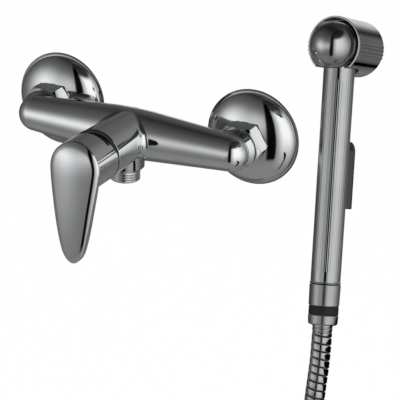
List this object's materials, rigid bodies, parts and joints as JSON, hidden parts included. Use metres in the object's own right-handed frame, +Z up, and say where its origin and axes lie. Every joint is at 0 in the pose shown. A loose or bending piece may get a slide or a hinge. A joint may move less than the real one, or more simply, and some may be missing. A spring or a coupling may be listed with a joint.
{
  "type": "mixer tap with bidet shower",
  "caption": "Wall-mounted single-lever mixer with drop-shaped lever, wall rosettes and union nuts, and a fluted bidet hand shower with thumb button on a ribbed metal hose",
  "frame": {"origin": "midway between the two wall inlets, on the finished wall", "axes": "+Z up, -Y out of the wall into the room, +X to the right as seen facing the wall"},
  "size_m": [0.2862, 0.136, 0.4282],
  "materials": {
    "chrome": "polished chrome plating over brass",
    "satin_chrome": "chrome plating over brass, slightly satin",
    "brass": "bare machined brass",
    "hose_metal": "strip-wound stainless cover, bright",
    "black_plastic": "black moulded plastic, fine grain",
    "white_plastic": "white acetal, moulded",
    "ceramic": "lapped alumina ceramic",
    "rubber": "black nitrile rubber",
    "steel": "stainless steel, drawn",
    "liner": "EPDM inner tube"
  },
  "bodies": {
    "mixer": {"mixer_body": "chrome", "wall_union_left": "brass", "wall_union_right": "brass", "rosette_left": "chrome", "rosette_right": "chrome", "union_nut_left": "chrome", "union_nut_right": "chrome", "union_washer_left": "rubber", "union_washer_right": "rubber", "inlet_tail_left": "brass", "inlet_tail_right": "brass", "outlet_nipple": "chrome", "check_valve": "white_plastic", "cartridge_seal": "rubber", "cartridge_base": "white_plastic", "fixed_disc": "ceramic", "cartridge_housing": "white_plastic", "retaining_nut": "brass", "shroud": "chrome"},
    "turning": {"carrier": "white_plastic", "spindle_pin": "steel"},
    "disc": {"moving_disc": "ceramic", "disc_driver": "white_plastic"},
    "lever": {"lever": "chrome", "spindle": "brass", "lever_grub_screw": "steel"},
    "handset": {"handle": "chrome", "valve_body": "black_plastic", "head_shell": "chrome", "stem_seal": "rubber", "return_spring": "steel", "spray_seal": "rubber", "spray_plate": "black_plastic", "hanging_hook": "chrome", "inlet_adapter": "brass", "top_nut": "satin_chrome", "top_washer": "rubber"},
    "button": {"thumb_button": "chrome", "valve_plunger": "steel", "poppet_seal": "rubber"},
    "hose": {"top_insert": "brass", "swivel_ring": "black_plastic", "hose_collar": "satin_chrome", "top_ferrule": "satin_chrome", "hose_run": "hose_metal", "hose_liner": "liner", "hose_coil": "hose_metal", "coil_tie": "black_plastic", "end_ferrule": "satin_chrome", "end_insert": "brass"},
    "hose_nut": {"end_nut": "chrome", "end_washer": "rubber"}
  },
  "joints": [
    {"name": "lever_turn", "type": "hinge", "parent": "mixer", "child": "turning", "pos_m": [0, -0.083, 0.006], "axis": [0, 1, 0], "range_deg": [-50, 50]},
    {"name": "lever_lift", "type": "hinge", "parent": "turning", "child": "lever", "pos_m": [0, -0.083, 0.006], "axis": [-1, 0, 0], "range_deg": [0, 20]},
    {"name": "disc_slide", "type": "slide", "parent": "turning", "child": "disc", "axis": [0, 0, -1], "range_m": [0, 0.00357]},
    {"name": "handset_lift", "type": "slide", "parent": "mixer", "child": "hose", "axis": [0, 0, 1], "range_m": [0, 0.15]},
    {"name": "hose_swivel", "type": "hinge", "parent": "hose", "child": "handset", "pos_m": [0.16542, -0.08136, -0.06551], "axis": [-0.1295, 0.3383, 0.9321], "continuous": true},
    {"name": "button_press", "type": "slide", "parent": "handset", "child": "button", "axis": [0.168, 0.9339, -0.3156], "range_m": [0, 0.003], "stiffness_N_per_m": 600, "springref_m": -0.004, "deforming": ["return_spring"]},
    {"name": "end_nut_turn", "type": "hinge", "parent": "hose", "child": "hose_nut", "pos_m": [0.0715, -0.0648, -0.3042], "axis": [-1, 0, 0], "continuous": true}
  ],
  "couplings": [
    {"joint": "disc_slide", "follows": "lever_lift", "m_per_rad": 0.01019}
  ]
}
